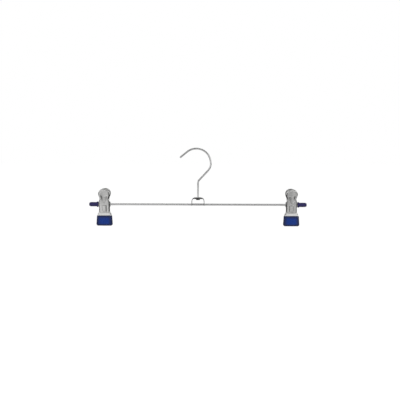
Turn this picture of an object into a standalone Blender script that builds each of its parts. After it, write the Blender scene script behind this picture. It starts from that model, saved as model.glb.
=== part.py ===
"""Skirt hanger: a wire hook that swivels in a small bracket on a straight crossbar, with two
sprung metal clips that slide along the bar between the bracket and the vinyl end caps.

Metres, +Z up, +X to the right as the hanger is seen from the front, front towards -Y.
The origin is the point inside the hook that rests on the rail, on the axis of the swivel.
"""

import math

import bmesh
import bpy
from mathutils import Vector
from mathutils.geometry import interpolate_bezier

# Overall layout
OVERALL_WIDTH = 0.300
SADDLE_TO_BAR = 0.0757

# Clearances
SEAT_GAP = 0.0003
PAD_GAP = 0.0003
BOOT_GAP = 0.00025
COIL_CLEARANCE = 0.0008

# Crossbar
BAR_DIAMETER = 0.0028
BAR_END_CHAMFER = 0.0004

# Vinyl end caps
CAP_LENGTH = 0.0125
CAP_WALL = 0.0013
CAP_NOSE = 0.0034
CAP_NOSE_ROUND = 0.0015
CAP_END_WALL = 0.0030
CAP_COLLAR_STEP = 0.0008
CAP_COLLAR_LENGTH = 0.0019
CAP_EDGE = 0.0004

# Hook, as radii of the middle of the wire
HOOK_WIRE = 0.0025
HOOK_TIP_RADIUS = 0.0240
HOOK_CROWN_RADIUS = 0.0200
HOOK_HEEL_RADIUS = 0.0156
HOOK_BEND_RADIUS = 0.0040
HOOK_OFFSET = 0.0025
HOOK_TIP_ANGLE = math.radians(64)
HOOK_LEAN = math.radians(43)
HOOK_TIP_CHAMFER = 0.0004
HOOK_HEAD_LIP = 0.00095
HOOK_HEAD_HEIGHT = 0.0013
HOOK_HEAD_ROUND = 0.00035

# Swivel bracket, a strip arched over the bar
BRACKET_WIDTH = 0.0180
BRACKET_RISE = 0.0095
BRACKET_ARM = 0.0013
BRACKET_SHEET = 0.0010
BRACKET_SQUARENESS = 3.2
BRACKET_EDGE = 0.0002

# Clip halves, pressed from sheet, from the rounded thumb tab down to the jaw
SHEET = 0.0008
FOLD_RADIUS = 0.0013
RIM_DEPTH = 0.0019
TAB_CROWN = 0.0073
TAB_WIDTH = 0.0158
TAB_SQUARENESS = 2.2
TAB_SPREAD = 0.0126
SHOULDER_LENGTH = 0.0070
NECK_LENGTH = 0.0021
NECK_WIDTH = 0.0124
EAR_WALL = 0.0011
EAR_RUNS_FROM = 0.0028
EAR_RUNS_TO = 0.0056
EAR_BLEND = 0.0014
BODY_WIDTH = 0.0150
BODY_DROP = 0.0108
FLARE_LENGTH = 0.0036
JAW_WIDTH = 0.0188
JAW_LENGTH = 0.0142
FLANGE_TO_MIDDLE = 0.0006
FLAT_FOLD_ANGLE = math.radians(8)
FLAT_LIP = 0.0008

# Pressed relief on each half
DISH_DEPTH = 0.0014
DISH_WIDTH = 0.0120
DISH_TIP = 0.0008
DISH_BORDER = 0.0013
BEAD_HEIGHT = 0.0009
BEAD_WIDTH = 0.0052
BEAD_TOP = -0.0004
BEAD_RUNOUT = 0.0010

# Vinyl grips
GRIP_BELOW_FLARE = 0.0010
GRIP_SOLE = 0.0008
GRIP_SIDE_WALL = 0.0006
GRIP_TAPER = 0.0016
PAD_WALL = 0.0010
PAD_ROUND = 0.0003
GRIP_WALL = 0.00105
GRIP_CROWN = 0.0003
GRIP_CORNER = 0.0009
GRIP_BACK_CORNER = 0.00045
GRIP_FOOT_RADIUS = 0.0014
GRIP_LIP_RADIUS = 0.0004

# Pivot rivet, a flanged tube that the bar runs through
RIVET_WALL = 0.0005
RIVET_LIP = 0.0008
RIVET_FLANGE = 0.0004

# Torsion spring
SPRING_WIRE = 0.0010
SPRING_TURNS = 5.6
SPRING_LEG_HEIGHT = 0.0125
SPRING_FOOT = 0.0022
SPRING_FOOT_BEND = 0.0009

# Mesh fineness
ROUND_SIDES = 24
WIRE_SIDES_RESOLUTION = 3
SPRING_SIDES_RESOLUTION = 1
ARC_STEP = math.radians(9)
CURL_POINTS = 9
FILLET_STEPS = 3
CAP_NOSE_STEPS = 6
ARCH_STEPS = 10
FACE_COLUMNS = 8
# Rows of faces between the levels of a clip half, from the jaw's foot to the tab's middle
FACE_ROWS = (2, 8, 2, 2, 8, 2, 1, 4)
TAB_ROWS = 3
GRIP_FOOT_STEPS = 4
GRIP_CROWN_STEPS = 6
# Share of a corner that a Bezier handle covers to draw a quarter circle
QUARTER_HANDLE = 0.55
# Where round the tab its sides end and its top begins
TAB_TURN = math.radians(45)

# Places worked out from the sizes above
BAR_Z = -SADDLE_TO_BAR
BAR_RADIUS = BAR_DIAMETER / 2
HALF_WIDTH = OVERALL_WIDTH / 2
CAP_INNER_END = HALF_WIDTH - CAP_LENGTH
BAR_HALF_LENGTH = HALF_WIDTH - CAP_END_WALL - SEAT_GAP
RIVET_BORE = BAR_RADIUS + SEAT_GAP
RIVET_RADIUS = RIVET_BORE + RIVET_WALL
RIVET_HOLE = RIVET_RADIUS + SEAT_GAP
RIVET_HALF_LENGTH = BODY_WIDTH / 2 + SEAT_GAP + RIVET_FLANGE
CLIP_X = CAP_INNER_END - SEAT_GAP - RIVET_HALF_LENGTH
COIL_RADIUS = RIVET_RADIUS + SEAT_GAP + SPRING_WIRE / 2

# The inner half's ears stand just inside the outer half's.
INNER_EAR_INSET = SHEET + SEAT_GAP
COIL_LENGTH = BODY_WIDTH - 2 * (SHEET + INNER_EAR_INSET + SEAT_GAP) - SPRING_WIRE
EAR_RADIUS = RIVET_HOLE + EAR_WALL
EAR_FLAT = EAR_RADIUS + SHEET / 2

# Heights of a clip half above the bar's axis
NECK_BOTTOM = EAR_FLAT + EAR_BLEND
NECK_TOP = NECK_BOTTOM + NECK_LENGTH
TAB_MIDDLE = NECK_TOP + SHOULDER_LENGTH
TAB_TOP = TAB_MIDDLE + TAB_CROWN
FLARE_TOP = -BODY_DROP
FLARE_BOTTOM = FLARE_TOP - FLARE_LENGTH
JAW_BOTTOM = FLARE_BOTTOM - JAW_LENGTH
GRIP_TOP = FLARE_BOTTOM - GRIP_BELOW_FLARE
GRIP_BOTTOM = JAW_BOTTOM - BOOT_GAP - GRIP_SOLE

# Distances of a half's outer face from the clip's middle plane
FACE_AT_JAW = PAD_GAP / 2 + PAD_WALL + BOOT_GAP + SHEET
FACE_AT_BAR = COIL_RADIUS + SPRING_WIRE / 2 + COIL_CLEARANCE + SHEET
GRIP_FACE = FACE_AT_JAW + BOOT_GAP + GRIP_WALL
GRIP_TOP_WIDTH = JAW_WIDTH + 2 * (BOOT_GAP + GRIP_SIDE_WALL)
GRIP_BOTTOM_WIDTH = GRIP_TOP_WIDTH + GRIP_TAPER

# Colours (red, green, blue), roughness and metallic
FINISHES = {
    "bar_steel": ((0.62, 0.62, 0.62), 0.22, 1.0),
    "hook_steel": ((0.64, 0.64, 0.64), 0.18, 1.0),
    "clip_steel": ((0.66, 0.66, 0.65), 0.26, 1.0),
    "spring_steel": ((0.42, 0.42, 0.41), 0.30, 1.0),
    "blue_vinyl": ((0.018, 0.044, 0.200), 0.42, 0.0),
    "cap_vinyl": ((0.030, 0.032, 0.100), 0.45, 0.0),
}


def clear_scene():
    for item in list(bpy.data.objects):
        bpy.data.objects.remove(item, do_unlink=True)


def finish(name):
    """The material of that name, made once."""
    if name in bpy.data.materials:
        return bpy.data.materials[name]
    color, roughness, metallic = FINISHES[name]
    material = bpy.data.materials.new(name)
    material.use_nodes = True
    shader = material.node_tree.nodes["Principled BSDF"]
    shader.inputs["Base Color"].default_value = (*color, 1.0)
    shader.inputs["Roughness"].default_value = roughness
    shader.inputs["Metallic"].default_value = metallic
    return material


def add_object(name, data, finish_name=None, parent=None):
    item = bpy.data.objects.new(name, data)
    bpy.context.scene.collection.objects.link(item)
    item.parent = parent
    if finish_name and not data.materials:
        data.materials.append(finish(finish_name))
    return item


SHARED_MESHES = {}


def shared(name, maker, *values):
    """A mesh made once and used by every copy of its piece."""
    if name not in SHARED_MESHES:
        SHARED_MESHES[name] = maker(*values)
    return SHARED_MESHES[name]


def add_pivot(name, location):
    """An empty on a joint's axis, which carries the pieces that turn or slide there."""
    pivot = bpy.data.objects.new(name, None)
    pivot.empty_display_size = BAR_DIAMETER
    pivot.location = location
    bpy.context.scene.collection.objects.link(pivot)
    return pivot


def mesh_from(name, bm, smooth_angle=math.radians(35)):
    bmesh.ops.remove_doubles(bm, verts=bm.verts, dist=1e-6)
    bmesh.ops.recalc_face_normals(bm, faces=bm.faces)
    mesh = bpy.data.meshes.new(name)
    bm.to_mesh(mesh)
    bm.free()
    mesh.shade_smooth()
    mesh.set_sharp_from_angle(angle=smooth_angle)
    return mesh


def smooth_step(low, high, value):
    t = min(max((value - low) / (high - low), 0.0), 1.0)
    return t * t * (3 - 2 * t)


def blend(first, second, share):
    return first + (second - first) * share


def spread(low, high, count):
    """count + 1 even values from low to high."""
    return [blend(low, high, i / count) for i in range(count + 1)]


# Turned pieces

def turned(name, profile, sides=ROUND_SIDES):
    """A closed (x, radius) profile turned round the X axis."""
    bm = bmesh.new()
    verts = [bm.verts.new((x, 0.0, radius)) for x, radius in profile]
    edges = [bm.edges.new((a, b)) for a, b in zip(verts, verts[1:] + verts[:1])]
    on_axis = [e for e in edges if max(v.co.z for v in e.verts) < 1e-9]
    spun = [e for e in edges if e not in on_axis]
    bmesh.ops.delete(bm, geom=on_axis, context="EDGES_FACES")
    bmesh.ops.spin(
        bm,
        geom=[v for v in bm.verts] + spun,
        axis=(1, 0, 0),
        cent=(0, 0, 0),
        angle=2 * math.pi,
        steps=sides,
        use_merge=True,
    )
    bmesh.ops.remove_doubles(bm, verts=bm.verts, dist=1e-6)
    bmesh.ops.dissolve_degenerate(bm, edges=bm.edges, dist=1e-6)
    return mesh_from(name, bm)


def rounded_corner(corner, toward_a, toward_b, radius):
    """Points of a fillet at a profile's corner, from the side of a to the side of b."""
    corner, toward_a, toward_b = (Vector((*p, 0.0)) for p in (corner, toward_a, toward_b))
    start = corner + (toward_a - corner).normalized() * radius
    end = corner + (toward_b - corner).normalized() * radius
    handle_a = start.lerp(corner, QUARTER_HANDLE)
    handle_b = end.lerp(corner, QUARTER_HANDLE)
    points = interpolate_bezier(start, handle_a, handle_b, end, FILLET_STEPS)
    return [(p.x, p.y) for p in points]


def make_crossbar():
    end, radius, chamfer = BAR_HALF_LENGTH, BAR_RADIUS, BAR_END_CHAMFER
    profile = [
        (-end, 0.0),
        (-end, radius - chamfer),
        (-end + chamfer, radius),
        (end - chamfer, radius),
        (end, radius - chamfer),
        (end, 0.0),
    ]
    bar = add_object("crossbar", turned("crossbar", profile), "bar_steel")
    bar.location = (0, 0, BAR_Z)


def cap_mesh():
    """A blind vinyl cap along +X: collar, straight body and bullet nose."""
    bore = BAR_RADIUS + SEAT_GAP
    body = bore + CAP_WALL
    collar, tip = body + CAP_COLLAR_STEP, body - CAP_NOSE_ROUND
    collar_end = CAP_INNER_END + CAP_COLLAR_LENGTH
    nose_start = HALF_WIDTH - CAP_NOSE
    bore_end = HALF_WIDTH - CAP_END_WALL
    nose = [
        (
            nose_start + CAP_NOSE * math.sin(t),
            tip + (body - tip) * math.cos(t),
        )
        for t in spread(0.0, math.pi / 2, CAP_NOSE_STEPS)
    ]
    profile = [(bore_end, 0.0), (bore_end, bore), (CAP_INNER_END, bore)]
    profile += rounded_corner(
        (CAP_INNER_END, collar), (CAP_INNER_END, bore), (collar_end, collar), CAP_EDGE
    )
    profile += rounded_corner(
        (collar_end, collar), (CAP_INNER_END, collar), (collar_end, body), CAP_EDGE
    )
    profile += [(collar_end + CAP_EDGE, body)]
    profile += nose
    profile += [(HALF_WIDTH, 0.0)]
    return turned("end_cap", profile)


def make_end_caps():
    mesh = cap_mesh()
    for name, turn in (("left_end_cap", math.pi), ("right_end_cap", 0.0)):
        cap = add_object(name, mesh, "cap_vinyl")
        cap.location = (0, 0, BAR_Z)
        cap.rotation_euler = (0, 0, turn)


# Wire pieces

def wire_object(name, points, radii, resolution, finish_name, parent=None):
    """A round wire along the points, with a radius at each."""
    thickest = max(radii)
    curve = bpy.data.curves.new(name, "CURVE")
    curve.dimensions = "3D"
    curve.bevel_depth = thickest
    curve.bevel_resolution = resolution
    curve.use_fill_caps = True
    line = curve.splines.new("POLY")
    line.points.add(len(points) - 1)
    line.use_smooth = True
    for slot, point, radius in zip(line.points, points, radii):
        slot.co = (*point, 1.0)
        slot.radius = radius / thickest
    return add_object(name, curve, finish_name, parent)


def arc(centre, radius, start, end):
    """Points (x, z) on an arc, both ends included, angles from +X towards +Z."""
    count = max(2, round(abs(end - start) / ARC_STEP))
    return [
        (centre[0] + radius * math.cos(t), centre[1] + radius * math.sin(t))
        for t in spread(start, end, count)
    ]


def hook_path():
    """The bent part of the hook from its tip to the top of the stem, as (x, z) points."""
    half_wire = HOOK_WIRE / 2
    inner = HOOK_CROWN_RADIUS - half_wire
    crown_z = -math.sqrt(inner**2 - HOOK_OFFSET**2)
    crown = (-HOOK_OFFSET, crown_z)
    top_z = crown_z + HOOK_CROWN_RADIUS
    tip_centre = (-HOOK_OFFSET, top_z - HOOK_TIP_RADIUS)
    heel = (crown[0] + HOOK_CROWN_RADIUS - HOOK_HEEL_RADIUS, crown_z)
    up = math.pi / 2
    path = arc(tip_centre, HOOK_TIP_RADIUS, up + HOOK_TIP_ANGLE, up)
    path += arc(crown, HOOK_CROWN_RADIUS, up, 0.0)[1:]
    path += arc(heel, HOOK_HEEL_RADIUS, 0.0, -HOOK_LEAN)[1:]
    # The straight part runs at the lean to the stem's axis, where a bend turns it down.
    heel_x, heel_z = path[-1]
    corner_z = heel_z - heel_x / math.tan(HOOK_LEAN)
    cut = HOOK_BEND_RADIUS * math.tan(HOOK_LEAN / 2)
    bend_centre = (HOOK_BEND_RADIUS, corner_z - cut)
    path += arc(bend_centre, HOOK_BEND_RADIUS, math.pi - HOOK_LEAN, math.pi)
    return path


def make_hook():
    """One wire: open hook, straight, stem through the bracket, and a head formed below it."""
    path = [Vector((x, 0, z)) for x, z in hook_path()]
    tip_end = path[0] + (path[0] - path[1]).normalized() * HOOK_TIP_CHAMFER
    wire, edge = HOOK_WIRE / 2, HOOK_HEAD_ROUND
    head = wire + SEAT_GAP + HOOK_HEAD_LIP
    head_top = BAR_Z + BRACKET_RISE - BRACKET_SHEET - SEAT_GAP
    stem = [
        (head_top + SEAT_GAP / 2, wire),
        (head_top, head - edge),
        (head_top - edge, head),
        (head_top - HOOK_HEAD_HEIGHT + edge, head),
        (head_top - HOOK_HEAD_HEIGHT, head - edge),
    ]
    points = [tip_end] + path + [Vector((0, 0, z)) for z, _ in stem]
    radii = [wire - HOOK_TIP_CHAMFER] + [wire] * len(path) + [radius for _, radius in stem]
    wire_object("hook", points, radii, WIRE_SIDES_RESOLUTION, "hook_steel")


# Cutting

def cutter(name, mesh, location=(0, 0, 0), parent=None):
    item = add_object(name, mesh, parent=parent)
    item.location = location
    item.hide_render = True
    item.display_type = "WIRE"
    return item


def cut(item, tool):
    boolean = item.modifiers.new(tool.name, "BOOLEAN")
    boolean.operation = "DIFFERENCE"
    boolean.solver = "EXACT"
    boolean.object = tool


def box_mesh(name, low, high):
    bm = bmesh.new()
    bmesh.ops.create_cube(bm, size=1.0)
    for vert in bm.verts:
        vert.co = [low[i] if vert.co[i] < 0 else high[i] for i in range(3)]
    return mesh_from(name, bm)


def rod_mesh(name, radius, half_length, upright=False):
    mesh = turned(name, [
        (-half_length, 0.0), (-half_length, radius), (half_length, radius), (half_length, 0.0)
    ])
    if upright:
        for vert in mesh.vertices:
            vert.co = (vert.co.z, vert.co.y, vert.co.x)
        mesh.flip_normals()
    return mesh


# Bracket

def bracket_arch():
    """The strip's middle line as (x, z) above the bar's axis: legs and an arched top."""
    half = (BRACKET_WIDTH - BRACKET_SHEET) / 2
    rise = BRACKET_RISE - BRACKET_SHEET / 2
    power = 2 / BRACKET_SQUARENESS
    arch = [
        (half * math.cos(t) ** power, rise * math.sin(t) ** power)
        for t in spread(0.0, math.pi / 2, ARCH_STEPS)[:-1]
    ]
    right = [(half, -BAR_RADIUS)] + arch
    left = [(-x, z) for x, z in reversed(right)]
    return right + [(0.0, rise)] + left


def make_bracket():
    notch_half = BAR_RADIUS + SEAT_GAP
    depth = 2 * (notch_half + BRACKET_ARM)
    path = [Vector((x, 0, z)) for x, z in bracket_arch()]
    bm = bmesh.new()
    outer, inner = [], []
    for i, point in enumerate(path):
        along = (path[min(i + 1, len(path) - 1)] - path[max(i - 1, 0)]).normalized()
        side = Vector((along.z, 0, -along.x)) * (BRACKET_SHEET / 2)
        outer.append(point + side)
        inner.append(point - side)
    outline = [bm.verts.new(p + Vector((0, -depth / 2, 0))) for p in outer + inner[::-1]]
    face = bm.faces.new(outline)
    grown = bmesh.ops.extrude_face_region(bm, geom=[face])["geom"]
    moved = [g for g in grown if isinstance(g, bmesh.types.BMVert)]
    bmesh.ops.translate(bm, verts=moved, vec=(0, depth, 0))
    bracket = add_object("swivel_bracket", mesh_from("swivel_bracket", bm), "bar_steel")
    bracket.location = (0, 0, BAR_Z)
    edge = bracket.modifiers.new("rounded edges", "BEVEL")
    edge.width = BRACKET_EDGE
    edge.segments = 1
    edge.limit_method = "ANGLE"
    edge.angle_limit = math.radians(60)
    hole = rod_mesh("stem_hole", HOOK_WIRE / 2 + SEAT_GAP, 2 * BRACKET_SHEET, upright=True)
    cut(bracket, cutter("stem_hole", hole, (0, 0, BAR_Z + BRACKET_RISE)))
    reach = BRACKET_WIDTH
    notch = box_mesh("bar_notch", (-reach, -notch_half, -reach), (reach, notch_half, 0))
    cut(bracket, cutter("bar_notch", notch, (0, 0, BAR_Z)))
    seat = rod_mesh("bar_seat", notch_half, reach)
    cut(bracket, cutter("bar_seat", seat, (0, 0, BAR_Z)))


# Clip halves. A point on a half is (x, height above the bar's axis, distance from the middle).

def half_outline(height, ear_inset):
    """Half the width of the sheet, folds included, at a height."""
    tab, neck, body, jaw = (w / 2 for w in (TAB_WIDTH, NECK_WIDTH, BODY_WIDTH, JAW_WIDTH))
    if height >= TAB_MIDDLE:
        share = min((height - TAB_MIDDLE) / (TAB_TOP - TAB_MIDDLE), 1.0)
        return tab * (1 - share**TAB_SQUARENESS) ** (1 / TAB_SQUARENESS)
    if height >= NECK_TOP:
        return blend(neck, tab, smooth_step(NECK_TOP, TAB_MIDDLE, height))
    if height >= NECK_BOTTOM:
        return neck
    width = blend(body, jaw, smooth_step(FLARE_TOP, FLARE_BOTTOM, height))
    near_ear = 1 - smooth_step(EAR_FLAT, NECK_BOTTOM, abs(height))
    if height > 0:
        width = blend(neck, body, near_ear)
    return width - ear_inset * near_ear


def face_distance(height):
    """How far the outer face stands from the middle plane, without the pressed relief."""
    if height <= FLARE_BOTTOM:
        return FACE_AT_JAW
    if height <= 0:
        lean = (FACE_AT_BAR - FACE_AT_JAW) / -FLARE_BOTTOM
        return FACE_AT_BAR + lean * height
    lean = (TAB_SPREAD - FACE_AT_BAR) / TAB_TOP
    return FACE_AT_BAR + lean * height


def relief(x, height):
    """The pressed relief: a teardrop thumb dish above the bar and a bead below it."""
    rise = smooth_step(DISH_TIP, TAB_MIDDLE, height)
    rise *= 1 - smooth_step(TAB_MIDDLE, TAB_TOP - DISH_BORDER, height)
    half = DISH_WIDTH / 2 * math.sqrt(max(rise, 1e-6))
    across = max(1 - (x / half) ** 2, 0.0)
    dish = DISH_DEPTH * across * math.sqrt(rise)
    bead_bottom = FLARE_TOP - BEAD_RUNOUT
    end = 2 * BEAD_HEIGHT
    along = smooth_step(bead_bottom, bead_bottom + end, height)
    along *= 1 - smooth_step(BEAD_TOP - end, BEAD_TOP, height)
    share = min(abs(x) / (BEAD_WIDTH / 2), 1.0)
    bead = BEAD_HEIGHT * along * (1 - share**2)
    return bead - dish


def flange_edge(height):
    """Distance of the flange's free edge from the middle plane; an ear reaches past it."""
    lobe = -math.sqrt(max(EAR_RADIUS**2 - height**2, 0.0))
    if height > 0:
        beyond = face_distance(height) - RIM_DEPTH
    else:
        beyond = min(FLANGE_TO_MIDDLE, face_distance(height) - SHEET)
    return blend(lobe, beyond, smooth_step(EAR_RUNS_FROM, EAR_RUNS_TO, abs(height)))


def fold_at(height):
    """Fold angle and lip length of the sheet's edge at a height.

    Down the flare the lip shortens first, and then the fold opens flat for the jaw.
    """
    flare_middle = (FLARE_TOP + FLARE_BOTTOM) / 2
    angle = blend(
        FLAT_FOLD_ANGLE, math.pi / 2, smooth_step(FLARE_BOTTOM, flare_middle, height)
    )
    if height >= TAB_MIDDLE:
        return angle, RIM_DEPTH - FOLD_RADIUS
    depth = face_distance(height) - flange_edge(height) - FOLD_RADIUS
    lip = max(depth, SHEET / 2)
    return angle, blend(FLAT_LIP, lip, smooth_step(flare_middle, FLARE_TOP, height))


def fold_reach(height):
    """How far the folded edge stands out in the plane of the sheet."""
    angle, lip = fold_at(height)
    return FOLD_RADIUS * math.sin(angle) + lip * math.cos(angle)


def tab_inside():
    """Half the tab's width and the rise of its round top, inside the fold."""
    return TAB_WIDTH / 2 - FOLD_RADIUS, TAB_TOP - FOLD_RADIUS - TAB_MIDDLE


def half_rows(ear_inset):
    """(height, half width) of the sheet inside its folds, from the jaw's foot to the tab."""
    foot = JAW_BOTTOM + fold_reach(JAW_BOTTOM)
    levels = [foot, FLARE_BOTTOM, FLARE_TOP, -NECK_BOTTOM, -EAR_FLAT]
    levels += [EAR_FLAT, NECK_BOTTOM, NECK_TOP, TAB_MIDDLE]
    heights = [foot]
    for low, high, count in zip(levels, levels[1:], FACE_ROWS):
        heights += spread(low, high, count)[1:]
    rows = [(h, half_outline(h, ear_inset) - fold_reach(h)) for h in heights]
    inner_half, inner_rise = tab_inside()
    corner = math.sin(TAB_TURN) ** (2 / TAB_SQUARENESS)
    for share in spread(0.0, corner, TAB_ROWS)[1:]:
        width = inner_half * (1 - share**TAB_SQUARENESS) ** (1 / TAB_SQUARENESS)
        rows.append((TAB_MIDDLE + inner_rise * share, width))
    return rows


def tab_arc():
    """(x, height) over the rounded top of the tab, inside its fold, left to right."""
    power = 2 / TAB_SQUARENESS
    half, rise = tab_inside()
    arc_points = []
    for t in spread(math.pi - TAB_TURN, TAB_TURN, FACE_COLUMNS):
        across = math.copysign(abs(math.cos(t)) ** power, math.cos(t))
        arc_points.append((half * across, TAB_MIDDLE + rise * math.sin(t) ** power))
    return arc_points


def half_face(ear_inset):
    """Rows of (x, height) over the sheet inside its folds."""
    rows = half_rows(ear_inset)
    top_height, top_half = rows[-1]
    face = []
    for height, half in rows:
        share = min(max((height - NECK_TOP) / (top_height - NECK_TOP), 0.0), 1.0) ** 2
        line = []
        for column, (arc_x, arc_height) in enumerate(tab_arc()):
            across = 2 * column / FACE_COLUMNS - 1
            x = across * half + share * (arc_x - across * top_half)
            line.append((x, height + share * (arc_height - top_height)))
        face.append(line)
    return face


def outline_of(face):
    """The face's rim as (row, column) pairs in one loop."""
    last_row, last_column = len(face) - 1, len(face[0]) - 1
    loop = [(0, c) for c in range(last_column)]
    loop += [(r, last_column) for r in range(last_row)]
    loop += [(last_row, c) for c in range(last_column, 0, -1)]
    loop += [(r, 0) for r in range(last_row, 0, -1)]
    return loop


def half_mesh(ear_inset):
    """The outer skin of a clip half that faces -Y, with its folded rim and ears."""
    bm = bmesh.new()
    face = half_face(ear_inset)
    grid = [
        [bm.verts.new((x, -face_distance(h) - relief(x, h), h)) for x, h in line] for line in face
    ]
    for low, high in zip(grid, grid[1:]):
        for i in range(FACE_COLUMNS):
            bm.faces.new((low[i], low[i + 1], high[i + 1], high[i]))
    loop = outline_of(face)
    spots = [Vector(face[r][c]) for r, c in loop]
    rings = [[grid[r][c] for r, c in loop], [], [], []]
    for i, spot in enumerate(spots):
        along = spots[(i + 1) % len(spots)] - spots[i - 1]
        outward = Vector((along.y, -along.x)).normalized()
        angle, lip = fold_at(spot.y)
        steps = (
            (FOLD_RADIUS * math.sin(angle / 2), FOLD_RADIUS * (1 - math.cos(angle / 2))),
            (FOLD_RADIUS * math.sin(angle), FOLD_RADIUS * (1 - math.cos(angle))),
            (
                FOLD_RADIUS * math.sin(angle) + lip * math.cos(angle),
                FOLD_RADIUS * (1 - math.cos(angle)) + lip * math.sin(angle),
            ),
        )
        for ring, (reach, depth) in zip(rings[1:], steps):
            place = spot + outward * reach
            ring.append(bm.verts.new((place.x, depth - face_distance(place.y), place.y)))
    for inner, outer in zip(rings, rings[1:]):
        for i in range(len(loop)):
            j = (i + 1) % len(loop)
            bm.faces.new((inner[j], inner[i], outer[i], outer[j]))
    mesh = bpy.data.meshes.new("clip_half")
    bm.to_mesh(mesh)
    bm.free()
    mesh.shade_smooth()
    return mesh


def thicken(item):
    sheet = item.modifiers.new("sheet", "SOLIDIFY")
    sheet.thickness = SHEET
    sheet.offset = -1.0
    sheet.use_even_offset = True
    sheet.use_rim = True


# Grips

def grip_ring(height, inset):
    """One level of a grip as (x, y): a flat pad side, round corners and a crowned face."""
    share = (height - GRIP_BOTTOM) / (GRIP_TOP - GRIP_BOTTOM)
    half = blend(GRIP_BOTTOM_WIDTH, GRIP_TOP_WIDTH, share) / 2 - inset
    pad = -(PAD_GAP / 2 + min(inset, PAD_ROUND))
    front = -(GRIP_FACE - inset)
    back, corner = GRIP_BACK_CORNER, GRIP_CORNER
    quarter = spread(0.0, math.pi / 2, FILLET_STEPS)
    right = [(half - back * (1 - math.sin(t)), pad - back * (1 - math.cos(t))) for t in quarter]
    right += [
        (half - corner * (1 - math.cos(t)), front + corner * (1 - math.sin(t))) for t in quarter
    ]
    edge_x = right[-1][0]
    face = [
        (x, front - GRIP_CROWN * (1 - (x / edge_x) ** 2))
        for x in spread(edge_x, -edge_x, GRIP_CROWN_STEPS)[1:-1]
    ]
    left = [(-x, y) for x, y in reversed(right)]
    return right + face + left


def grip_mesh():
    """A boot over the jaw, without its pocket."""
    levels = [
        (GRIP_TOP - GRIP_LIP_RADIUS * (1 - math.sin(t)), GRIP_LIP_RADIUS * (1 - math.cos(t)))
        for t in spread(math.pi / 2, 0.0, FILLET_STEPS)
    ]
    levels += [
        (GRIP_BOTTOM + GRIP_FOOT_RADIUS * (1 - math.sin(t)), GRIP_FOOT_RADIUS * (1 - math.cos(t)))
        for t in spread(0.0, math.pi / 2, GRIP_FOOT_STEPS)
    ]
    bm = bmesh.new()
    rings = [[bm.verts.new((x, y, z)) for x, y in grip_ring(z, inset)] for z, inset in levels]
    for upper, lower in zip(rings, rings[1:]):
        for i in range(len(upper)):
            j = (i + 1) % len(upper)
            bm.faces.new((upper[i], upper[j], lower[j], lower[i]))
    bm.faces.new(rings[0])
    bm.faces.new(rings[-1])
    return mesh_from("grip", bm, math.radians(50))


def pocket_mesh():
    """The space inside a grip that takes the jaw's sheet."""
    half = JAW_WIDTH / 2 + BOOT_GAP
    inner = -(PAD_GAP / 2 + PAD_WALL)
    outer = -(FACE_AT_JAW + BOOT_GAP)
    low = JAW_BOTTOM - BOOT_GAP
    return box_mesh("grip_pocket", (-half, outer, low), (half, inner, GRIP_TOP + SHEET))


# Pivot and spring

def rivet_mesh():
    half, flange, radius = RIVET_HALF_LENGTH, RIVET_HOLE + RIVET_LIP, RIVET_RADIUS
    inner = half - RIVET_FLANGE
    edge = RIVET_FLANGE / 2
    right = [(inner, radius), (inner, flange - edge / 2), (inner + edge, flange)]
    right += [(half, flange - edge), (half, RIVET_BORE + edge), (half - edge, RIVET_BORE)]
    left = [(-x, r) for x, r in reversed(right)]
    return turned("pivot_rivet", right + left)


def rivet_hole_mesh():
    return rod_mesh("rivet_hole", RIVET_HOLE, BODY_WIDTH)


def leg_points(x, facing):
    """The straight spring leg from the coil to the inside of a tab, with a bent foot."""
    height = SPRING_LEG_HEIGHT
    lean = math.atan2(TAB_SPREAD - FACE_AT_BAR, TAB_TOP)
    sheet_y = face_distance(height) + relief(0.0, height) - SHEET / math.cos(lean)
    foot = Vector((sheet_y - (SEAT_GAP + SPRING_WIRE / 2) / math.cos(lean), height))
    # The leg leaves the coil along its tangent through the foot.
    reach = foot.length
    turn = math.acos(COIL_RADIUS / reach)
    angle = math.atan2(foot.y, foot.x) - turn
    start = Vector((x, facing * COIL_RADIUS * math.cos(angle), COIL_RADIUS * math.sin(angle)))
    corner = Vector((x, facing * foot.x, height))
    end = corner - Vector((math.copysign(SPRING_FOOT, x), 0, 0))
    before = corner + (start - corner).normalized() * SPRING_FOOT_BEND
    after = corner + (end - corner).normalized() * SPRING_FOOT_BEND
    return angle, [start, before, (before + after + 2 * corner) / 4, after, end]


def spring_points():
    """Front leg, coil round the rivet, back leg, as one unbroken wire."""
    half = COIL_LENGTH / 2
    front_angle, front_leg = leg_points(-half, -1)
    back_angle, back_leg = leg_points(half, 1)
    # Angles in the Y-Z plane, from +Y towards +Z; the coil winds up over the back.
    start = math.pi - front_angle
    end = back_angle
    turn = (start - end) % (2 * math.pi)
    total = -(turn + 2 * math.pi * round(SPRING_TURNS - turn / (2 * math.pi)))
    count = round(abs(total) / (2 * math.pi) * CURL_POINTS)
    coil = []
    for i in range(1, count):
        share = i / count
        angle = start + total * share
        x = blend(-half, half, share)
        coil.append(Vector((x, COIL_RADIUS * math.cos(angle), COIL_RADIUS * math.sin(angle))))
    return front_leg[::-1] + coil + back_leg


def least_self_gap(points, diameter):
    """Least clear gap between turns of a wire, on points more than half a curl apart."""
    apart = CURL_POINTS // 2 + 1
    pairs = (
        (a - b).length
        for i, a in enumerate(points)
        for b in points[i + apart:]
    )
    return min(pairs) - diameter


# Assembly

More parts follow.
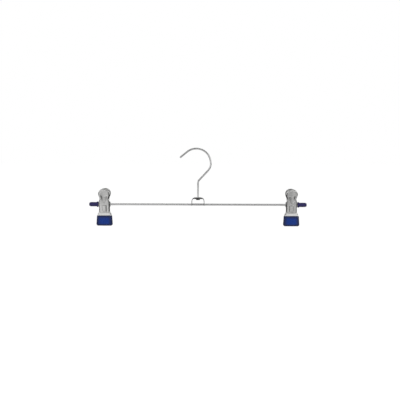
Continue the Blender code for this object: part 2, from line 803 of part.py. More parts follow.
def make_clip(side, x):
    """One clip: rivet, two sheet halves on it, their grips and the spring between."""
    pivot = add_pivot(side + "_clip_pivot", (x, 0, BAR_Z))
    add_object(side + "_pivot_rivet", shared("rivet", rivet_mesh), "clip_steel", pivot)
    hole = cutter(side + "_rivet_hole", shared("rivet_hole", rivet_hole_mesh), parent=pivot)
    for place, turn, inset in (("front", 0.0, 0.0), ("back", math.pi, INNER_EAR_INSET)):
        mesh = shared(place + "_half", half_mesh, inset)
        jaw = add_object(f"{side}_{place}_jaw", mesh, "clip_steel", pivot)
        jaw.rotation_euler = (0, 0, turn)
        thicken(jaw)
        cut(jaw, hole)
        pocket = cutter(f"{side}_{place}_pocket", shared("pocket", pocket_mesh), parent=pivot)
        pocket.rotation_euler = (0, 0, turn)
        grip = add_object(f"{side}_{place}_grip", shared("grip", grip_mesh), "blue_vinyl", pivot)
        grip.rotation_euler = (0, 0, turn)
        cut(grip, pocket)
    points = spring_points()
    radii = [SPRING_WIRE / 2] * len(points)
    wire_object(
        side + "_spring", points, radii, SPRING_SIDES_RESOLUTION, "spring_steel", pivot
    )
    print(side, "spring, least gap to itself:", round(least_self_gap(points, SPRING_WIRE), 5))


def main():
    clear_scene()
    make_crossbar()
    make_end_caps()
    make_bracket()
    make_hook()
    make_clip("left", -CLIP_X)
    make_clip("right", CLIP_X)


main()
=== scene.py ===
"""The looks of the skirt hanger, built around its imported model: plated wire and pressed sheet,
blue vinyl grips and caps, a plain pale studio and the photograph's camera.

Metres, +Z up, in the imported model's frame. Sizes are those of the model; a clip's own places
are (x, y, height) from the point where the bar runs through the middle of the clip.
"""

import math

import bmesh
import bpy
from mathutils import Euler, Matrix, Vector
from mathutils.geometry import interpolate_bezier


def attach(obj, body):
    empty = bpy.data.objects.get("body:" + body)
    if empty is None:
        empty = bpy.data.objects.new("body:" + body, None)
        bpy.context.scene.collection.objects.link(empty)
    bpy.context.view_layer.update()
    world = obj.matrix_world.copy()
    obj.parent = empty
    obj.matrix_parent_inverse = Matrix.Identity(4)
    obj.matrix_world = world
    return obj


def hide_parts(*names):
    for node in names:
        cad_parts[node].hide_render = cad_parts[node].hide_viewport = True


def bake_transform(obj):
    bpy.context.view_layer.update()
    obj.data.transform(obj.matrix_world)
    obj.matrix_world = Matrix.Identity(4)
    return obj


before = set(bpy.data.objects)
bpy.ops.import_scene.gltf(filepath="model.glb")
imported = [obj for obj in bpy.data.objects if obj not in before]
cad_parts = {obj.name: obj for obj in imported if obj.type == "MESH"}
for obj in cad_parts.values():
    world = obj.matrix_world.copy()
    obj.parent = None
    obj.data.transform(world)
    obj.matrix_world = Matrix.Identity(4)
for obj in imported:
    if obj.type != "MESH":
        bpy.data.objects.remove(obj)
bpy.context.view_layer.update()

# The photograph's view
VIEW_WIDTH = 0.5522
VIEW_CENTRE = Vector((0.0028, 0.0, -0.0694))
VIEW_DISTANCE = 1.20
VIEW_PITCH = math.radians(4.0)
VIEW_ROLL = math.radians(0.2)
VIEW_NEAR, VIEW_FAR = 0.01, 100.0
SENSOR_MM = 36.0

# Layout and clearances
BAR_Z = -0.0757
BAR_RADIUS = 0.0014
HALF_WIDTH = 0.150
CLIP_X = 0.1290
SEAT_GAP = 0.0003
PAD_GAP = 0.0003
BOOT_GAP = 0.00025

# Crossbar and end caps
BAR_HALF_LENGTH = 0.1467
BAR_END_ROUND = 0.0004
CAP_INNER_END = 0.1375
CAP_BORE = 0.0017
CAP_BODY = 0.0030
CAP_COLLAR = 0.0038
CAP_COLLAR_END = 0.1394
CAP_NOSE = 0.0034
CAP_NOSE_ROUND = 0.0015
CAP_BORE_END = 0.1470
CAP_EDGE = 0.0004

# Hook. Its bends are radii of the wire's middle line.
HOOK_WIRE = 0.0025
HOOK_CROWN_RADIUS = 0.0200
HOOK_HEEL_RADIUS = 0.0156
HOOK_BEND_RADIUS = 0.0040
HOOK_OFFSET = 0.0025
HOOK_TIP_ANGLE = math.radians(39)
HOOK_TIP_LENGTH = 0.0116
HOOK_TIP_EDGE = 0.0010
HOOK_LEAN = math.radians(43)
HOOK_HEAD = 0.0029
HOOK_HEAD_HEIGHT = 0.0012
HOOK_HEAD_ROUND = 0.0005

# Bracket, a strip that is thicker over the middle of its crown
BRACKET_WIDTH = 0.0180
BRACKET_RISE = 0.0102
BRACKET_ARCH = 0.0006
BRACKET_ARM = 0.0013
BRACKET_SHEET = 0.0010
BRACKET_CROWN = 0.0023
BRACKET_THINS_FROM = 0.00396
BRACKET_THINS_TO = 0.00846
BRACKET_SQUARENESS = 4.6
BRACKET_EDGE = 0.00018
BRACKET_UNDERSIDE = BAR_Z + BRACKET_RISE - BRACKET_CROWN

# Clip halves
SHEET = 0.0008
SHEET_EDGE = 0.00012
FOLD_RADIUS = 0.0021
RIM_DEPTH = 0.0024
TAB_WIDTH = 0.0158
TAB_SQUARENESS = 2.2
TAB_SPREAD = 0.0126
NECK_WIDTH = 0.0124
NECK_HEIGHT = 0.0080
TAB_MIDDLE = 0.0145
TAB_TOP = 0.0218
EAR_RADIUS = 0.0036
EAR_FLAT = 0.0032
EAR_RUNS_FROM = 0.0028
EAR_RUNS_TO = 0.0058
INNER_EAR_INSET = 0.0011
INNER_EAR_END = -0.0080
BODY_WIDTH = 0.0150
FLARE_TOP = -0.0094
FLARE_BOTTOM = -0.0144
LIP_SHORTENS_FROM = -0.0090
LIP_SHORTENS_TO = -0.0142
FOLD_OPENS_FROM = -0.0122
FOLD_FLAT_FROM = -0.0151
JAW_BEND = -0.0114
JAW_BEND_HALF = 0.0006
BAR_BEND_HALF = 0.0035
JAW_WIDTH = 0.0188
JAW_BOTTOM = -0.0286
FACE_AT_JAW = 0.0022
FACE_AT_BAR = 0.0051
FLANGE_TO_MIDDLE = 0.0006
FLAT_FOLD_ANGLE = math.radians(8)
BODY_FOLD_ANGLE = math.radians(68)
FLAT_LIP = 0.0008

# Pressed relief on each half. The powers set how steep the sides of dish and bead are.
DISH_DEPTH = 0.0016
DISH_WIDTH = 0.0122
DISH_TIP = 0.0008
DISH_DEEP = 0.0122
DISH_TOP = 0.0205
DISH_END = 0.0012
DISH_SIDE_POWER = 1.4
DISH_LEAST_SHARE = 1e-4
DISH_LEAST_HALF = 1e-5
RIB_RISE = 0.00030
RIB_PLACES = (0.0142, 0.0166, 0.0190)
RIB_WIDTH = 0.0011
RIB_FADES_FROM = 0.00312
RIB_FADES_TO = 0.0052
BEAD_RISE = 0.0008
BEAD_WIDTH = 0.0068
BEAD_FLAT_POWER = 3
BEAD_SIDE_POWER = 1.3
BEAD_TOP = -0.0002
BEAD_TOP_RUN = 0.0013
BEAD_BOTTOM = -0.0122
BEAD_BOTTOM_RUN = 0.0034

# Vinyl grips
GRIP_TOP = -0.0154
GRIP_BOTTOM = -0.02965
GRIP_TOP_WIDTH = 0.0205
GRIP_BOTTOM_WIDTH = 0.0225
GRIP_FACE = 0.0035
PAD_WALL = 0.0010
PAD_ROUND = 0.0003
GRIP_CROWN = 0.0005
GRIP_CORNER = 0.0015
GRIP_BACK_CORNER = 0.00045
GRIP_FOOT_RADIUS = 0.0028
GRIP_LIP_RADIUS = 0.0005

# Where a grip's painted rim shade gives way to its own blue: the axis, whether on
# both sides of the middle, and the places where the change begins and ends
GRIP_SHADE_FADES = (
    (0, True, 0.0098, 0.0046),
    (2, False, -0.0288, -0.0256),
    (2, False, -0.0158, -0.0206),
)

# Pivot rivet and torsion spring
RIVET_HALF_LENGTH = 0.0082
RIVET_BORE = 0.0017
RIVET_RADIUS = 0.0022
RIVET_HOLE = 0.0025
RIVET_FLANGE = 0.0004
RIVET_FLANGE_RADIUS = 0.0033
SPRING_WIRE = 0.0010
SPRING_TURNS = 5.6
SPRING_LEG_HEIGHT = 0.0125
SPRING_FOOT = 0.0022
SPRING_FOOT_BEND = 0.0011
SPRING_CUT_EDGE = 0.00012
COIL_RADIUS = 0.0030
COIL_LENGTH = 0.0096

# Mesh fineness
TURNED_SIDES = 56
WIRE_SIDES = 28
SPRING_SIDES = 16
ARC_STEP = math.radians(3)
CURL_POINTS = 28
FILLET_STEPS = 6
BEND_STEPS = 6
END_STEPS = 4
HEAD_STEPS = 5
TIP_STEPS = 8
LEG_STEPS = 5
ARCH_STEPS = 28
FACE_COLUMNS = 26
FACE_ROWS = (6, 24, 14, 16, 12, 16)
FACE_BEND_SAMPLES = 8
TAB_ROWS = 9
TAB_TURN = math.radians(45)
FOLD_STEPS = 5
LIP_STEPS = 4
GRIP_ROWS = 10
GRIP_CROWN_STEPS = 16
QUARTER_HANDLE = 0.55
BEVEL_SEGMENTS = 2
BEVEL_ANGLE = math.radians(50)
SHARP_ANGLE = math.radians(38)
GRIP_SHARP_ANGLE = math.radians(50)
WELD = 1e-7
ON_AXIS = 1e-9

# Finishes: base colour and roughness, and a second colour where a piece has two, which is painted
# shade: on the hook's head under the bracket and on the grips' rims
CLIP_PLATING = ((0.70, 0.70, 0.69), 0.17)
BAR_PLATING = ((0.74, 0.74, 0.74), 0.20)
BRACKET_PLATING = ((0.46, 0.46, 0.46), 0.12)
HOOK_PLATING = ((0.66, 0.66, 0.66), 0.18)
# Painted shade on the hook's head under the bracket
HOOK_HEAD_PAINTED_SHADE = (0.03, 0.03, 0.03)
SPRING_PLATING = ((0.42, 0.42, 0.41), 0.30)
GRIP_VINYL = ((0.005, 0.028, 0.175), 0.42)
# Painted shade that darkens the grips' rims
GRIP_RIM_PAINTED_SHADE = (0.012, 0.018, 0.060)
CAP_VINYL = ((0.022, 0.020, 0.078), 0.45)

# Unevenness of the finishes. Noises are (scale, detail) pairs, and the roughness goes between
# two shares of its own value where the cloudy noise goes over its middle span.
CLOUD_SPAN = (0.3, 0.7)
BUMP_DISTANCE = 0.0001
PLATE_CLOUDS = (260.0, 3.0)
PLATE_TONES = (120.0, 2.0)
PLATE_GRAIN = (1400.0, 2.0)
PLATE_ROUGHNESS_SHARES = (0.8, 1.25)
PLATE_DARKEST = 0.88
PLATE_BUMP = 0.08
VINYL_CLOUDS = (300.0, 3.0)
VINYL_PEEL = (1800.0, 1.0)
VINYL_ROUGHNESS_SHARES = (0.85, 1.15)
VINYL_DARKEST = 0.8
VINYL_BUMP = 0.12
VINYL_GLOSS = 0.2

# Studio. Lamps are (name, place, watts), and all face one point.
AMBIENT = 0.36
LAMPS = (
    ("key", (-0.9, -1.4, 0.8), 24.0),
    ("fill", (1.1, -1.3, 0.2), 15.0),
)
LAMP_AIM = (0.0, 0.0, -0.07)
LAMP_SIZE = 1.2
FLOOR_Z = -0.60
FLOOR_REACH = 20.0
FLOOR_TONE = 0.8
FLOOR_ROUGHNESS = 0.9
FLOOR_GLOW = 0.72

# Reflectors that only polished surfaces show. The mat's rings are (radius, level) pairs. Cards
# are (name, place, the point that they face, size, level).
MAT_RINGS = (
    (0.0, 0.75), (0.3, 0.56), (0.65, 0.54), (0.78, 0.74), (1.03, 0.74), (1.16, 0.3),
    (1.9, 0.3), (2.4, 1.0),
)
MAT_LIFT = 0.01
MAT_SIDES = 64
MAT_SIDE_SHARE = 0.16
MAT_BLEND = 0.35
CARDS = (
    ("front hood", (0.0, -1.11, 0.95), (0.0, 0.0, -0.08), (3.2, 1.2), 0.03),
    ("back hood", (0.0, 1.11, 0.95), (0.0, 0.0, -0.08), (3.2, 1.2), 0.03),
    ("left flag", (-1.0, 0.1, -0.39), (0.0, 0.1, -0.39), (2.2, 0.42), 0.15),
    ("right flag", (1.0, 0.1, -0.39), (0.0, 0.1, -0.39), (2.2, 0.42), 0.10),
    ("left strip", (-1.0, 0.1, -0.10), (0.0, 0.1, -0.10), (2.2, 0.16), 0.4),
    ("right strip", (1.0, 0.1, -0.10), (0.0, 0.1, -0.10), (2.2, 0.16), 0.4),
    ("centre flag", (0.0, 0.70, -0.16), (1.0, 0.70, -0.16), (1.40, 0.16), 0.01),
    ("front centre flag", (0.0, -0.225, -0.16), (1.0, -0.225, -0.16), (0.45, 0.16), 0.18),
    ("camera card", (0.0, -1.2, -0.17), (0.0, 0.0, -0.17), (0.22, 0.3), 0.0),
)


# Camera

def make_camera():
    """A camera in front of the hanger, a little above it, that frames VIEW_WIDTH there."""
    data = bpy.data.cameras.new("camera")
    data.sensor_width = SENSOR_MM
    data.lens = SENSOR_MM * VIEW_DISTANCE / VIEW_WIDTH
    data.clip_start = VIEW_NEAR
    data.clip_end = VIEW_FAR
    camera = bpy.data.objects.new("camera", data)
    back = Vector((0, -math.cos(VIEW_PITCH), math.sin(VIEW_PITCH)))
    camera.location = VIEW_CENTRE + back * VIEW_DISTANCE
    camera.rotation_mode = "QUATERNION"
    roll = Euler((0, 0, VIEW_ROLL)).to_quaternion()
    camera.rotation_quaternion = (-back).to_track_quat("-Z", "Y") @ roll
    bpy.context.scene.collection.objects.link(camera)
    bpy.context.scene.camera = camera


# Shader helpers

class Paint:
    """A node tree with short calls for the nodes used here."""

    def __init__(self, owner, shader_name):
        owner.use_nodes = True
        self.owner = owner
        self.tree = owner.node_tree
        self.shader = self.tree.nodes[shader_name]

    def node(self, kind, inputs=None, output=0, **settings):
        item = self.tree.nodes.new(kind)
        for name, value in settings.items():
            setattr(item, name, value)
        for name, value in (inputs or {}).items():
            self.feed(item.inputs[name], value)
        return item.outputs[output]

    def feed(self, socket, value):
        if isinstance(value, bpy.types.NodeSocket):
            self.tree.links.new(value, socket)
        else:
            socket.default_value = value

    def set(self, **values):
        for name, value in values.items():
            self.feed(self.shader.inputs[name.replace("_", " ")], value)

    def place(self):
        """Places in the piece's own frame."""
        return self.node("ShaderNodeTexCoord", output="Object")

    def noise(self, place, scale, detail):
        return self.node("ShaderNodeTexNoise", {"Vector": place, "Scale": scale, "Detail": detail})

    def mix(self, share, first, second, blend="MIX"):
        return self.node("ShaderNodeMix", {
            "Factor": share, "A": first, "B": second,
        }, output=2, data_type="RGBA", blend_type=blend)

    def shaded(self, color, noise, darkest):
        """The colour, darkened down to a share of itself where the noise is low."""
        level = self.node("ShaderNodeMapRange", {"Value": noise, "To Min": darkest, "To Max": 1.0})
        return self.mix(1.0, color, level, "MULTIPLY")

    def clouded(self, value, noise, shares):
        """The value, which goes between two shares of itself with the noise."""
        return self.node("ShaderNodeMapRange", {
            "Value": noise, "From Min": CLOUD_SPAN[0], "From Max": CLOUD_SPAN[1],
            "To Min": value * shares[0], "To Max": value * shares[1],
        })

    def bump(self, height, strength):
        return self.node("ShaderNodeBump", {
            "Strength": strength, "Distance": BUMP_DISTANCE, "Height": height,
        })


def new_paint(name):
    return Paint(bpy.data.materials.new(name), "Principled BSDF")


# Mesh helpers

def smooth_step(low, high, value):
    t = min(max((value - low) / (high - low), 0.0), 1.0)
    return t * t * (3 - 2 * t)


def between(first, second, share):
    return first + (second - first) * share


def spread(low, high, count):
    """count + 1 even values from low to high."""
    return [between(low, high, i / count) for i in range(count + 1)]


def mesh_from(name, bm, sharp=SHARP_ANGLE):
    """A smooth mesh with sharp edges, from a bmesh that is then freed."""
    bmesh.ops.remove_doubles(bm, verts=bm.verts, dist=WELD)
    bmesh.ops.recalc_face_normals(bm, faces=bm.faces)
    mesh = bpy.data.meshes.new(name)
    bm.to_mesh(mesh)
    bm.free()
    mesh.shade_smooth()
    mesh.set_sharp_from_angle(angle=sharp)
    return mesh


def place_piece(name, mesh, matrix=Matrix.Identity(4)):
    item = bpy.data.objects.new(name, mesh)
    item.matrix_world = matrix
    bpy.context.scene.collection.objects.link(item)
    return item


def bake_modifiers(item):
    """Give the piece a mesh of its own with its modifiers applied."""
    bpy.context.view_layer.update()
    done = item.evaluated_get(bpy.context.evaluated_depsgraph_get())
    mesh = bpy.data.meshes.new_from_object(done)
    item.modifiers.clear()
    item.data = mesh
    mesh.shade_smooth()
    mesh.set_sharp_from_angle(angle=SHARP_ANGLE)


def cut(item, mesh, matrix):
    tool = place_piece("cutter", mesh, matrix)
    boolean = item.modifiers.new("cut", "BOOLEAN")
    boolean.solver = "EXACT"
    boolean.object = tool
    bake_modifiers(item)
    bpy.data.objects.remove(tool)


def round_edges(item, width):
    edge = item.modifiers.new("edges", "BEVEL")
    edge.width = width
    edge.segments = BEVEL_SEGMENTS
    edge.limit_method = "ANGLE"
    edge.angle_limit = BEVEL_ANGLE
    bake_modifiers(item)


def box_mesh(name, low, high):
    bm = bmesh.new()
    bmesh.ops.create_cube(bm, size=1.0)
    for vert in bm.verts:
        vert.co = [low[i] if vert.co[i] < 0 else high[i] for i in range(3)]
    return mesh_from(name, bm)


def turned(name, profile):
    """A closed (x, radius) profile turned round the X axis."""
    bm = bmesh.new()
    verts = [bm.verts.new((x, 0.0, radius)) for x, radius in profile]
    pairs = zip(verts, verts[1:] + verts[:1])
    edges = [bm.edges.new(pair) for pair in pairs if max(v.co.z for v in pair) > ON_AXIS]
    bmesh.ops.spin(
        bm, geom=verts + edges, axis=(1, 0, 0), cent=(0, 0, 0),
        angle=2 * math.pi, steps=TURNED_SIDES, use_merge=True,
    )
    bmesh.ops.remove_doubles(bm, verts=bm.verts, dist=WELD)
    bmesh.ops.dissolve_degenerate(bm, edges=bm.edges, dist=WELD)
    return mesh_from(name, bm)


def rod_mesh(name, start, end, radius):
    return turned(name, [(start, 0.0), (start, radius), (end, radius), (end, 0.0)])


def fillet(corner, toward_a, toward_b, radius):
    """Points of a fillet at a flat corner, from the side of a to the side of b."""
    corner, toward_a, toward_b = (Vector((*p, 0.0)) for p in (corner, toward_a, toward_b))
    start = corner + (toward_a - corner).normalized() * radius
    end = corner + (toward_b - corner).normalized() * radius
    handle_a = start.lerp(corner, QUARTER_HANDLE)
    handle_b = end.lerp(corner, QUARTER_HANDLE)
    curve = interpolate_bezier(start, handle_a, handle_b, end, FILLET_STEPS + 1)
    return [(point.x, point.y) for point in curve]


def rounded_profile(points, radii):
    """The closed profile with each corner rounded by its own radius."""
    rounded = []
    for i, (point, radius) in enumerate(zip(points, radii)):
        if radius:
            rounded += fillet(point, points[i - 1], points[(i + 1) % len(points)], radius)
        else:
            rounded.append(point)
    return rounded


def close_rings(bm, rings):
    """Faces between closed rings of points, and one over the first and the last ring."""
    for low, high in zip(rings, rings[1:]):
        for i in range(len(low)):
            j = (i + 1) % len(low)
            bm.faces.new((low[i], low[j], high[j], high[i]))
    bm.faces.new(rings[0][::-1])
    bm.faces.new(rings[-1])


def tube_mesh(name, line, sides):
    """A round wire along (point, radius) pairs, closed at both ends."""
    bm = bmesh.new()
    points = [point for point, _ in line]
    last = len(points) - 1
    across = None
    rings = []
    for i, (point, radius) in enumerate(line):
        along = (points[min(i + 1, last)] - points[max(i - 1, 0)]).normalized()
        across = along.orthogonal() if across is None else across - along * across.dot(along)
        across.normalize()
        other = along.cross(across)
        ring = []
        for side in range(sides):
            t = 2 * math.pi * side / sides
            ring.append(bm.verts.new(
                point + (across * math.cos(t) + other * math.sin(t)) * radius
            ))
        rings.append(ring)
    close_rings(bm, rings)
    return mesh_from(name, bm)


def round_end(point, direction, radius, edge):
    """(point, radius) pairs that round off a wire's cut end, from the flat to the full wire."""
    return [
        (point - direction * edge * (1 - math.sin(t)), radius - edge * (1 - math.cos(t)))
        for t in spread(math.pi / 2, 0.0, END_STEPS)
    ]


# Crossbar, caps and bracket

def bar_mesh():
    end, radius = BAR_HALF_LENGTH, BAR_RADIUS
    points = [(-end, 0.0), (-end, radius), (end, radius), (end, 0.0)]
    return turned("crossbar", rounded_profile(points, (0, BAR_END_ROUND, BAR_END_ROUND, 0)))


def cap_mesh():
    """A blind vinyl cap along +X: collar, straight body and bullet nose."""
    tip = CAP_BODY - CAP_NOSE_ROUND
    corners = [
        (CAP_BORE_END, 0.0), (CAP_BORE_END, CAP_BORE), (CAP_INNER_END, CAP_BORE),
        (CAP_INNER_END, CAP_COLLAR), (CAP_COLLAR_END, CAP_COLLAR), (CAP_COLLAR_END, CAP_BODY),
        (CAP_COLLAR_END + 2 * CAP_EDGE, CAP_BODY),
    ]
    profile = rounded_profile(corners, (0, 0, CAP_EDGE / 2, CAP_EDGE, CAP_EDGE, CAP_EDGE, 0))
    profile += [
        (HALF_WIDTH - CAP_NOSE * (1 - math.sin(t)), tip + CAP_NOSE_ROUND * math.cos(t))
        for t in spread(0.0, math.pi / 2, 3 * FILLET_STEPS)
    ]
    return turned("end_cap", profile + [(HALF_WIDTH, 0.0)])


def bracket_arch():
    """The strip's middle line as (x, z) above the bar's axis.

    Two legs carry a top with square shoulders, which is raised a little towards the middle.
    """
    half = (BRACKET_WIDTH - BRACKET_SHEET) / 2
    rise = BRACKET_RISE - BRACKET_ARCH - BRACKET_SHEET / 2
    power = 2 / BRACKET_SQUARENESS
    right = [(half, -BAR_RADIUS)]
    for t in spread(0.0, math.pi / 2, ARCH_STEPS)[:-1]:
        x = half * math.cos(t) ** power
        lift = BRACKET_ARCH * (1 - (x / half) ** 2)
        right.append((x, rise * math.sin(t) ** power + lift))
    top = (0.0, rise + BRACKET_ARCH)
    return right + [top] + [(-x, z) for x, z in reversed(right)]


def bracket_mesh():
    """A strip with rounded edges swept over the arch, thickest in the middle of the crown."""
    depth = BAR_RADIUS + SEAT_GAP + BRACKET_ARM
    half = BRACKET_SHEET / 2
    path = [Vector((x, 0, z)) for x, z in bracket_arch()]
    last = len(path) - 1
    bm = bmesh.new()
    rings = []
    for i, point in enumerate(path):
        along = (path[min(i + 1, last)] - path[max(i - 1, 0)]).normalized()
        side = Vector((along.z, 0, -along.x))
        crown = 1 - smooth_step(BRACKET_THINS_FROM, BRACKET_THINS_TO, abs(point.x))
        inner = half - between(BRACKET_SHEET, BRACKET_CROWN, crown)
        corners = [(-depth, inner), (depth, inner), (depth, half), (-depth, half)]
        section = rounded_profile(corners, (BRACKET_EDGE,) * 4)
        rings.append([bm.verts.new(point + side * v + Vector((0, u, 0))) for u, v in section])
    close_rings(bm, rings)
    return mesh_from("swivel_bracket", bm)


def make_bracket():
    """The bracket with its legs notched over the bar and a hole for the hook's stem."""
    at_bar = Matrix.Translation((0, 0, BAR_Z))
    bracket = place_piece("swivel_bracket_piece", bracket_mesh(), at_bar)
    reach = BRACKET_WIDTH
    notch = BAR_RADIUS + SEAT_GAP
    cut(bracket, box_mesh("notch", (-reach, -notch, -reach), (reach, notch, 0)), at_bar)
    cut(bracket, rod_mesh("seat", -reach, reach, notch), at_bar)
    upright = Matrix.Translation((0, 0, BAR_Z + reach)) @ Matrix.Rotation(math.pi / 2, 4, "Y")
    hole = rod_mesh("stem hole", -reach, reach / 2, HOOK_WIRE / 2 + SEAT_GAP)
    cut(bracket, hole, upright)
    return bracket


# Hook

def arc(centre, radius, start, end):
    """Points (x, z) on an arc, both ends included, angles from +X towards +Z."""
    count = max(2, round(abs(end - start) / ARC_STEP))
    return [
        (centre[0] + radius * math.cos(t), centre[1] + radius * math.sin(t))
        for t in spread(start, end, count)
    ]


def hook_path():
    """The bent part of the hook from its tip to the top of the stem, as (x, z) points."""
    inner = HOOK_CROWN_RADIUS - HOOK_WIRE / 2
    crown = (-HOOK_OFFSET, -math.sqrt(inner**2 - HOOK_OFFSET**2))
    heel = (crown[0] + HOOK_CROWN_RADIUS - HOOK_HEEL_RADIUS, crown[1])
    bend = arc(crown, HOOK_CROWN_RADIUS, math.pi / 2 + HOOK_TIP_ANGLE, 0.0)
    bend_x, bend_z = bend[0]
    path = [
        (bend_x - reach * math.cos(HOOK_TIP_ANGLE), bend_z - reach * math.sin(HOOK_TIP_ANGLE))
        for reach in spread(HOOK_TIP_LENGTH, 0.0, TIP_STEPS)[:-1]
    ]
    path += bend + arc(heel, HOOK_HEEL_RADIUS, 0.0, -HOOK_LEAN)[1:]
    heel_x, heel_z = path[-1]
    corner_z = heel_z - heel_x / math.tan(HOOK_LEAN)
    bend_centre = (HOOK_BEND_RADIUS, corner_z - HOOK_BEND_RADIUS * math.tan(HOOK_LEAN / 2))
    return path + arc(bend_centre, HOOK_BEND_RADIUS, math.pi - HOOK_LEAN, math.pi)


def hook_mesh():
    """One wire with a rounded tip, and below the bracket the head that was formed on it."""
    wire, edge, neck = HOOK_WIRE / 2, HOOK_HEAD_ROUND, SEAT_GAP
    path = [Vector((x, 0, z)) for x, z in hook_path()]
    outward = (path[0] - path[1]).normalized()
    top = BRACKET_UNDERSIDE - SEAT_GAP
    foot = top - HOOK_HEAD_HEIGHT
    rim = spread(math.pi / 2, 0.0, HEAD_STEPS)
    stem = [
        (top + neck * (1 - math.sin(t)), wire + neck * (1 - math.cos(t)))
        for t in spread(0.0, math.pi / 2, END_STEPS)
    ]
    stem += [
        (top - edge * (1 - math.sin(t)), HOOK_HEAD - edge * (1 - math.cos(t))) for t in rim
    ]
    stem += [
        (foot + edge * (1 - math.sin(t)), HOOK_HEAD - edge * (1 - math.cos(t)))
        for t in reversed(rim)
    ]
    line = round_end(path[0] + outward * wire, outward, wire, HOOK_TIP_EDGE)
    line += [(point, wire) for point in path]
    line += [(Vector((0, 0, z)), radius) for z, radius in stem]
    return tube_mesh("hook", line, WIRE_SIDES)


# Clip halves. A point on a half is (x, height above the bar's axis, distance from the middle).

def half_outline(height, ear_inset):
    """Half the width of the sheet, folds included, at a height."""
    tab, neck, body, jaw = (w / 2 for w in (TAB_WIDTH, NECK_WIDTH, BODY_WIDTH, JAW_WIDTH))
    ear = body - ear_inset
    if height >= TAB_MIDDLE:
        share = min((height - TAB_MIDDLE) / (TAB_TOP - TAB_MIDDLE), 1.0)
        return tab * (1 - share**TAB_SQUARENESS) ** (1 / TAB_SQUARENESS)
    if height >= NECK_HEIGHT:
        return between(neck, tab, smooth_step(NECK_HEIGHT, TAB_MIDDLE, height))
    if height >= 0:
        return between(ear, neck, smooth_step(EAR_FLAT, NECK_HEIGHT, height))
    body = between(ear, body, smooth_step(-EAR_FLAT, INNER_EAR_END, height))
    return between(body, jaw, smooth_step(FLARE_TOP, FLARE_BOTTOM, height))


def straight_face(height):
    """How far the outer face stands from the middle plane, with sharp bends."""
    if height <= JAW_BEND:
        return FACE_AT_JAW
    if height <= 0:
        return FACE_AT_BAR + (FACE_AT_BAR - FACE_AT_JAW) / -JAW_BEND * height
    return FACE_AT_BAR + (TAB_SPREAD - FACE_AT_BAR) / TAB_TOP * height


def face_distance(height):
    """How far the outer face stands from the middle plane, with rounded bends."""
    half = between(JAW_BEND_HALF, BAR_BEND_HALF, smooth_step(JAW_BEND / 2, 0, height))
    places = spread(height - half, height + half, FACE_BEND_SAMPLES)
    return sum(straight_face(place) for place in places) / len(places)


def relief(x, height):
    """The pressed relief: a teardrop thumb dish with faint ribs, and a bead below the bar."""
    sunk = max((height - DISH_TIP) / (DISH_DEEP - DISH_TIP), DISH_LEAST_SHARE)
    sunk *= 1 - smooth_step(DISH_DEEP - DISH_END, DISH_TOP, height)
    half = max(DISH_WIDTH / 2 * math.sqrt(min(sunk, 1.0)), DISH_LEAST_HALF)
    dish = DISH_DEPTH * sunk * max(1 - (x / half) ** 2, 0.0) ** DISH_SIDE_POWER
    along = smooth_step(BEAD_BOTTOM, BEAD_BOTTOM + BEAD_BOTTOM_RUN, height)
    along *= 1 - smooth_step(BEAD_TOP - BEAD_TOP_RUN, BEAD_TOP, height)
    share = min(abs(x) / (BEAD_WIDTH / 2), 1.0)
    bead = BEAD_RISE * along * (1 - share**BEAD_FLAT_POWER) ** BEAD_SIDE_POWER
    ribs = sum(math.exp(-((height - rib) / (RIB_WIDTH / 2)) ** 2) for rib in RIB_PLACES)
    ribs *= RIB_RISE * (1 - smooth_step(RIB_FADES_FROM, RIB_FADES_TO, abs(x)))
    return bead - dish + ribs


def flange_edge(height):
    """Distance of the flange's free edge from the middle plane; an ear reaches past it."""
    lobe = -math.sqrt(max(EAR_RADIUS**2 - height**2, 0.0))
    if height > 0:
        beyond = face_distance(height) - RIM_DEPTH
    else:
        beyond = min(FLANGE_TO_MIDDLE, face_distance(height) - SHEET)
    return between(lobe, beyond, smooth_step(EAR_RUNS_FROM, EAR_RUNS_TO, abs(height)))


def fold_at(height):
    """Fold angle and lip length of the sheet's edge at a height.

    Down the flare the lip shortens first, and then the fold opens flat for the jaw.
    """
    full = between(math.pi / 2, BODY_FOLD_ANGLE, smooth_step(-EAR_FLAT, INNER_EAR_END, height))
    share = smooth_step(FOLD_FLAT_FROM, FOLD_OPENS_FROM, height)
    angle = between(FLAT_FOLD_ANGLE, full, share)
    if height >= TAB_MIDDLE:
        return angle, RIM_DEPTH - FOLD_RADIUS
    lip = max(face_distance(height) - flange_edge(height) - FOLD_RADIUS, SHEET / 2)
    share = smooth_step(LIP_SHORTENS_TO, LIP_SHORTENS_FROM, height)
    return angle, between(FLAT_LIP, lip, share)


def fold_reach(height):
    """How far the folded edge stands out in the plane of the sheet."""
    angle, lip = fold_at(height)
    return FOLD_RADIUS * math.sin(angle) + lip * math.cos(angle)


def half_rows(ear_inset):
    """(height, half width) of the sheet inside its folds, from the jaw's foot to the tab."""
    foot = JAW_BOTTOM + fold_reach(JAW_BOTTOM)
    levels = [foot, FLARE_BOTTOM, INNER_EAR_END, -EAR_FLAT, EAR_FLAT, NECK_HEIGHT, TAB_MIDDLE]
    heights = [foot]
    for low, high, count in zip(levels, levels[1:], FACE_ROWS):
        heights += spread(low, high, count)[1:]
    rows = [(h, half_outline(h, ear_inset) - fold_reach(h)) for h in heights]
    inner_half, inner_rise = TAB_WIDTH / 2 - FOLD_RADIUS, TAB_TOP - FOLD_RADIUS - TAB_MIDDLE
    corner = math.sin(TAB_TURN) ** (2 / TAB_SQUARENESS)
    for share in spread(0.0, corner, TAB_ROWS)[1:]:
        width = inner_half * (1 - share**TAB_SQUARENESS) ** (1 / TAB_SQUARENESS)
        rows.append((TAB_MIDDLE + inner_rise * share, width))
    return rows


